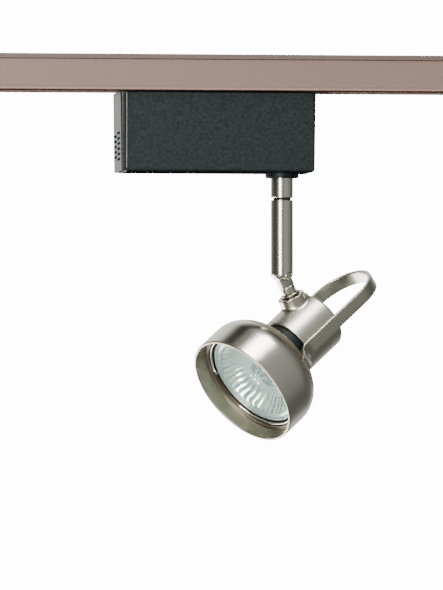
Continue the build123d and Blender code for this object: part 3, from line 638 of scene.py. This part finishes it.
# the outer band of long flutes, each a shallow rib
levels = []
SUB = 6
for li in range(13):
    t = rings[1] * li / 12
    r, s = bowl(t)
    row = []
    for i in range(flutes * SUB):
        w = 2 * math.pi * i / (flutes * SUB)
        u = (i % SUB) / SUB
        dip = 0.34 * math.sin(math.pi * u) * (0.35 + 0.65 * min(1, li / 2))
        row.append(len(verts))
        verts.append(((r - dip * 0.75) * math.cos(w) * MM, (r - dip * 0.75) * math.sin(w) * MM, (s - dip * 0.5) * MM))
    levels.append(row)
for a, b in zip(levels[:-1], levels[1:]):
    for i in range(flutes * SUB):
        j = (i + 1) % (flutes * SUB)
        faces.append((a[i], a[j], b[j], b[i]))
        tone.append(0.98 if i % SUB == 0 else (0.72 if i % SUB == 1 and (i // SUB) % 2 else 0.05 + 0.32 * (((i // SUB) * 7919) % 13) / 13))
smooth_to = len(faces)
# the inner rings of pillow facets: each facet bulges a little, so it catches its own light
for k in range(1, len(rings) - 1):
    t0, t1 = rings[k], rings[k + 1]
    cnt = flutes if k < 5 else flutes // 2
    off = 0.5 if k % 2 else 0.0
    for i in range(cnt):
        w0, w1 = 2 * math.pi * (i + off) / cnt, 2 * math.pi * (i + 1 + off) / cnt
        g = 3
        base = len(verts)
        for a in range(g + 1):
            for b in range(g + 1):
                t = t0 + (t1 - t0) * a / g
                w = w0 + (w1 - w0) * b / g
                r, s = bowl(t)
                lift = 0.22 * (1 - (2 * a / g - 1) ** 2) * (1 - (2 * b / g - 1) ** 2)
                verts.append(((r - lift * 0.6) * math.cos(w) * MM, (r - lift * 0.6) * math.sin(w) * MM, (s - lift * 0.8) * MM))
        tv_ = (0.15 + 0.35 * random.random()) if k < 3 else (0.35 + 0.65 * random.random())
        for a in range(g):
            for b in range(g):
                q = base + a * (g + 1) + b
                faces.append((q, q + 1, q + g + 2, q + g + 1))
                tone.append(tv_)
me = bpy.data.meshes.new("lamp_facets")
me.from_pydata(verts, [], faces)
for p in me.polygons:
    p.use_smooth = True
me.set_sharp_from_angle(angle=math.radians(14))
at = me.color_attributes.new("facet_tone", "FLOAT_COLOR", "CORNER")
li = 0
vals = []
for p in me.polygons:
    for _ in p.loop_indices:
        vals += [tone[p.index]] * 3 + [1.0]
at.data.foreach_set("color", vals)
me.transform(HEAD)
facets = bpy.data.objects.new("lamp_facets", me)
bpy.context.scene.collection.objects.link(facets)

m = Mat("dichroic_mirror")
m.set(Metallic=0.6)
vc = m.node("ShaderNodeVertexColor")
vc.layer_name = "facet_tone"
sep = m.node("ShaderNodeSeparateColor")
m.link(vc.outputs["Color"], sep.inputs[0])
dn = m.noise(m.coords(), 240.0, 3.0, 0.5)
mixv = m.math("ADD", m.math("MULTIPLY", sep.outputs[0], 0.9), m.math("MULTIPLY", dn, 0.1))
m.to("Base Color", m.ramp(mixv, [(0.15, (0.97, 0.98, 0.97)), (0.45, (0.86, 0.93, 0.90)), (0.7, (0.52, 0.64, 0.60)), (0.98, (0.26, 0.35, 0.32))]))
m.to("Roughness", m.remap(dn, 0.12, 0.22, 0.3, 0.7))
DICHROIC = m.m
me.materials.append(DICHROIC)
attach(facets, "head")

# the lamp's glass body: stepped front flange and the bell behind it
m = Mat("pressed_glass")
m.set(Metallic=0.55)
gn = m.noise(m.coords(), 420.0, 3.0, 0.5)
m.to("Base Color", m.mix(gn, (0.33, 0.43, 0.40), (0.56, 0.67, 0.63)))
m.to("Roughness", m.remap(gn, 0.12, 0.26, 0.3, 0.7))
m.to("Normal", m.bump(gn, 0.05, 0.0001))
GLASS_BODY = m.m
outer = []
for i in range(25):
    t = i / 24
    p0, p1, p2, p3 = (23.6, 12.1), (20.6, 17.0), (15.0, 21.6), (8.4, 24.2)
    b = [(1 - t) ** 3 * p0[k] + 3 * (1 - t) ** 2 * t * p1[k] + 3 * (1 - t) * t * t * p2[k] + t ** 3 * p3[k] for k in (0, 1)]
    outer.append(tuple(b))
prof = rounded([(21.5, 11.2), (21.5, 10.25, 0.15), (22.0, 10.25, 0.1), (22.0, 9.75, 0.15), (22.9, 9.75, 0.1), (22.9, 9.6, 0.1), (23.5, 9.6, 0.15), (23.6, 9.95, 0.1), (24.1, 9.95, 0.1), (24.2, 9.62, 0.15), (25.2, 9.62, 0.4), (25.2, 12.1, 0.4), (23.6, 12.1)], step=15)
prof += outer[1:]
prof += rounded([(8.4, 25.0), (8.4, 26.8, 0.4), (5.6, 26.8, 0.2), (5.6, 23.6, 0.2), (7.0, 22.95), (7.4, 22.95)], step=20)
prof += [(14.1, 19.8), (19.6, 15.5)]
lathe("lamp_body", prof, HEAD, n=192, material=GLASS_BODY, body="head", replaces=("lamp_reflector",), slot="dichroic_glass", sharp=40)

# front glass: thin, clear, with a ground edge
m = Mat("front_glass")
m.t.nodes.remove(m.b)
tr = m.node("ShaderNodeBsdfTransparent")
tr.inputs["Color"].default_value = (0.93, 0.975, 0.96, 1)
gl = m.node("ShaderNodeBsdfGlossy")
gl.inputs["Roughness"].default_value = 0.04
fr = m.node("ShaderNodeFresnel")
fr.inputs["IOR"].default_value = 1.5
gn = m.noise(m.coords(), 90.0, 2.0, 0.5)
mx = m.node("ShaderNodeMixShader")
m.link(m.math("MULTIPLY", fr.outputs[0], m.remap(gn, 0.004, 0.007)), mx.inputs[0])
m.link(tr.outputs[0], mx.inputs[1])
m.link(gl.outputs[0], mx.inputs[2])
m.link(mx.outputs[0], m.out.inputs[0])
FRONT_GLASS = m.m
prof = rounded([(0, 9.5), (22.7, 9.5, 0.25), (22.8, 10.5, 0.1), (0, 10.5)], closed=False, step=15)
lathe("lamp_front_glass", prof, HEAD, n=160, closed=False, material=FRONT_GLASS, body="head", replaces=("lamp_cover_glass",), slot="clear_glass")

# quartz capsule with its pinched seal and filament
m = Mat("quartz")
m.set(**{"Transmission_Weight": 0.0, "Roughness": 0.05})
m.t.nodes.remove(m.b)
tr = m.node("ShaderNodeBsdfTransparent")
tr.inputs["Color"].default_value = (0.90, 0.93, 0.93, 1)
gl = m.node("ShaderNodeBsdfGlossy")
gl.inputs["Roughness"].default_value = 0.06
fr = m.node("ShaderNodeLayerWeight")
fr.inputs["Blend"].default_value = 0.35
gn = m.noise(m.coords(), 260.0, 3.0, 0.5)
mx = m.node("ShaderNodeMixShader")
m.link(m.math("ADD", fr.outputs["Facing"], m.remap(gn, 0.02, 0.12)), mx.inputs[0])
m.link(tr.outputs[0], mx.inputs[1])
m.link(gl.outputs[0], mx.inputs[2])
m.link(mx.outputs[0], m.out.inputs[0])
QUARTZ = m.m
prof = [(0, 13.0), (0.5, 13.05), (0.9, 13.4), (1.2, 13.9), (2.0, 14.5), (3.1, 15.5), (3.9, 16.9), (4.25, 18.6), (4.3, 20.5), (4.3, 23.4), (4.0, 24.4), (3.2, 25.1), (2.3, 25.8), (2.2, 28), (2.2, 33), (0, 33)]
lathe("lamp_capsule_glass", prof, HEAD, n=64, closed=False, material=QUARTZ, body="head", replaces=("lamp_capsule",), slot="quartz_glass", sharp=50)
coil = [(1.9 - 3.8 * i / 240, 0.55 * math.cos(i * 0.55), 19.0 + 0.55 * math.sin(i * 0.55)) for i in range(241)]
sweep("lamp_filament", coil, [(0.09 * math.cos(a), 0.09 * math.sin(a)) for a in [i * math.pi / 3 for i in range(6)]], (0, 0, 1), HEAD, material=ZINC, body="head", slot="zinc_steel")
for i, x in enumerate((2.0, -2.0)):
    wire = [(x, 0, 19.0), (x, 0, 22.0), (x * 0.8, 0, 25.0), (x * 0.7, 0, 32.0)]
    sweep("lamp_lead_%d" % i, wire, [(0.14 * math.cos(a), 0.14 * math.sin(a)) for a in [k * math.pi / 4 for k in range(8)]], (0, 1, 0), HEAD, material=ZINC, body="head", slot="zinc_steel")

# ------------------------------------------------------------------ spring ring: an open wire with one end turned in
path, ups = [], []
A0, A1 = 416.5, 106.5
for i in range(181):
    w = math.radians(A0 + (A1 - A0) * i / 180)
    path.append((26.35 * math.cos(w), 26.35 * math.sin(w), 8.85))
w = math.radians(A1)
tip = Vector(path[-1])
inw = Vector((-math.cos(w), -math.sin(w), 0))
tan = Vector((math.sin(w), -math.cos(w), 0))
for d, z in ((0.5, 0.0), (1.2, -0.2), (2.0, -0.6), (3.0, -1.2)):
    p = tip + tan * min(d, 1.1) + inw * max(0, d - 0.5) + Vector((0, 0, z))
    path.append(tuple(p))
circ = [(0.62 * math.cos(a), 0.62 * math.sin(a)) for a in [k * math.pi / 8 for k in range(16)]]
sweep("spring_ring", path, circ, (0, 0, 1), HEAD, material=WIRE, body="head", replaces=("retaining_ring",), slot="spring_wire")

# ------------------------------------------------------------------ camera
AZ, DIST, LENS = -8.0, 9.0, 1125.0
look = Vector((3.5 * MM, 0, -116.9 * MM))
a, e = math.radians(AZ), math.radians(-2.0)
back = Vector((math.sin(a) * math.cos(e), -math.cos(a) * math.cos(e), math.sin(e)))
cam_data = bpy.data.cameras.new("camera")
cam_data.lens = LENS
cam_data.sensor_width = 36.0
cam = bpy.data.objects.new("camera", cam_data)
bpy.context.scene.collection.objects.link(cam)
cam.location = look + back * DIST
cam.rotation_mode = "QUATERNION"
cam.rotation_quaternion = (-back).to_track_quat("-Z", "Y")
cam_data.clip_start, cam_data.clip_end = 0.05, 50.0
bpy.context.scene.camera = cam

# ------------------------------------------------------------------ stage and light
m = Mat("studio_sweep")
m.set(Roughness=0.9)
sn = m.noise(m.coords(), 3.0, 2.0, 0.5)
m.to("Base Color", m.mix(sn, (0.88, 0.88, 0.87), (0.92, 0.92, 0.915)))
m.b.inputs["Emission Color"].default_value = (1, 1, 1, 1)
m.b.inputs["Emission Strength"].default_value = 14.0
verts = [(x, y, -12.0) for x, y in ((-60, -60), (60, -60), (60, 60), (-60, 60))]
sweep_ob = make("studio_floor", verts, [(0, 1, 2, 3)], Matrix.Identity(4), material=m.m, sharp=60)
sweep_ob.visible_glossy = False
sweep_ob.visible_diffuse = False


def soft_box(name, pos, target, w, h, power, color=(1, 1, 1), spread=180):
    d = bpy.data.lights.new(name, "AREA")
    d.shape = "RECTANGLE"
    d.size, d.size_y = w, h
    d.energy = power
    d.color = color
    d.spread = math.radians(spread)
    o = bpy.data.objects.new(name, d)
    bpy.context.scene.collection.objects.link(o)
    o.location = pos
    o.rotation_mode = "QUATERNION"
    o.rotation_quaternion = (Vector(target) - Vector(pos)).to_track_quat("-Z", "Y")
    return o


def polar(az, el, dist, centre=(0.02, 0, -0.12)):
    a, e = math.radians(az), math.radians(el)
    return Vector(centre) + Vector((math.sin(a) * math.cos(e), -math.cos(a) * math.cos(e), math.sin(e))) * dist


C = (0.02, 0, -0.12)
soft_box("key_strip", polar(-25, 4, 1.2), C, 0.34, 1.3, 30)
soft_box("top_soft", polar(16, 66, 1.2), C, 0.56, 0.46, 17)
card = soft_box("under_card", polar(-140, -36, 1.2), C, 1.3, 1.1, 48)
card.visible_diffuse = False

world = bpy.data.worlds.new("studio")
bpy.context.scene.world = world
world.use_nodes = True
wt = world.node_tree
wt.nodes.clear()


def wn(kind, op=None, **vals):
    n = wt.nodes.new(kind)
    if op:
        n.operation = op
    return n


def wmath(op, a, b=None, clamp=False):
    n = wn("ShaderNodeMath", op)
    n.use_clamp = clamp
    for i, v in enumerate((a, b)):
        if v is None:
            continue
        if isinstance(v, (int, float)):
            n.inputs[i].default_value = v
        else:
            wt.links.new(v, n.inputs[i])
    return n.outputs[0]


def wramp(fac, stops, lo, hi, interp="EASE"):
    mr = wn("ShaderNodeMapRange")
    mr.inputs["From Min"].default_value = lo
    mr.inputs["From Max"].default_value = hi
    wt.links.new(fac, mr.inputs["Value"])
    rp = wn("ShaderNodeValToRGB")
    rp.color_ramp.interpolation = interp
    el = rp.color_ramp.elements
    while len(el) < len(stops):
        el.new(0.5)
    for x, (pos, v) in zip(el, stops):
        x.position = (pos - lo) / (hi - lo)
        x.color = (v, v, v, 1)
    wt.links.new(mr.outputs[0], rp.inputs[0])
    return rp.outputs[0]


def wmix(fac, a, b):
    n = wn("ShaderNodeMix")
    n.data_type = "FLOAT"
    for i, v in ((0, fac), (2, a), (3, b)):
        if isinstance(v, (int, float)):
            n.inputs[i].default_value = v
        else:
            wt.links.new(v, n.inputs[i])
    return n.outputs[0]


tc = wn("ShaderNodeTexCoord")
sp = wn("ShaderNodeSeparateXYZ")
wt.links.new(tc.outputs["Generated"], sp.inputs[0])
azimuth = wmath("MULTIPLY", wmath("ARCTAN2", sp.outputs["X"], wmath("MULTIPLY", sp.outputs["Y"], -1.0)), 180 / math.pi)
elev = wmath("MULTIPLY", wmath("ARCSINE", sp.outputs["Z"]), 180 / math.pi)
# values are halved in the ramps, which stop at 1, and doubled at the end
level = wramp(azimuth, [(-180, 1.0), (-158, 0.85), (-140, 0.22), (-112, 0.10), (-88, 0.05), (-68, 0.05), (-52, 0.10), (-30, 0.20), (-8, 0.19), (4, 0.17), (24, 0.30), (50, 0.27), (72, 0.20), (100, 0.09), (125, 0.12), (150, 0.5), (180, 1.0)], -180, 180)
over = wramp(azimuth, [(-180, 0.16), (-144, 0.05), (-86, 0.10), (-30, 0.16), (16, 0.20), (60, 0.15), (116, 0.08), (180, 0.16)], -180, 180)
under = wramp(azimuth, [(-180, 0.45), (-60, 0.45), (-25, 0.25), (60, 0.12), (110, 0.07), (150, 0.2), (180, 0.45)], -180, 180)
up_fac = wramp(elev, [(-90, 0), (44, 0), (58, 1), (90, 1)], -90, 90, "LINEAR")
down_fac = wramp(elev, [(-90, 1), (-34, 1), (-16, 0), (90, 0)], -90, 90, "LINEAR")
val = wmix(down_fac, wmix(up_fac, level, over), under)
tint = wn("ShaderNodeMix")
tint.data_type = "RGBA"
tint.inputs[6].default_value = (0, 0, 0, 1)
tint.inputs[7].default_value = (1.0, 0.997, 0.975, 1)
wt.links.new(val, tint.inputs[0])
bg = wn("ShaderNodeBackground")
wt.links.new(tint.outputs[2], bg.inputs["Color"])
bg.inputs["Strength"].default_value = 2.0
white = wn("ShaderNodeBackground")
white.inputs["Color"].default_value = (1, 1, 1, 1)
white.inputs["Strength"].default_value = 14.0
seen = wn("ShaderNodeLightPath")
pick = wn("ShaderNodeMixShader")
wt.links.new(seen.outputs["Is Camera Ray"], pick.inputs[0])
wt.links.new(bg.outputs[0], pick.inputs[1])
wt.links.new(white.outputs[0], pick.inputs[2])
wo = wn("ShaderNodeOutputWorld")
wt.links.new(pick.outputs[0], wo.inputs[0])
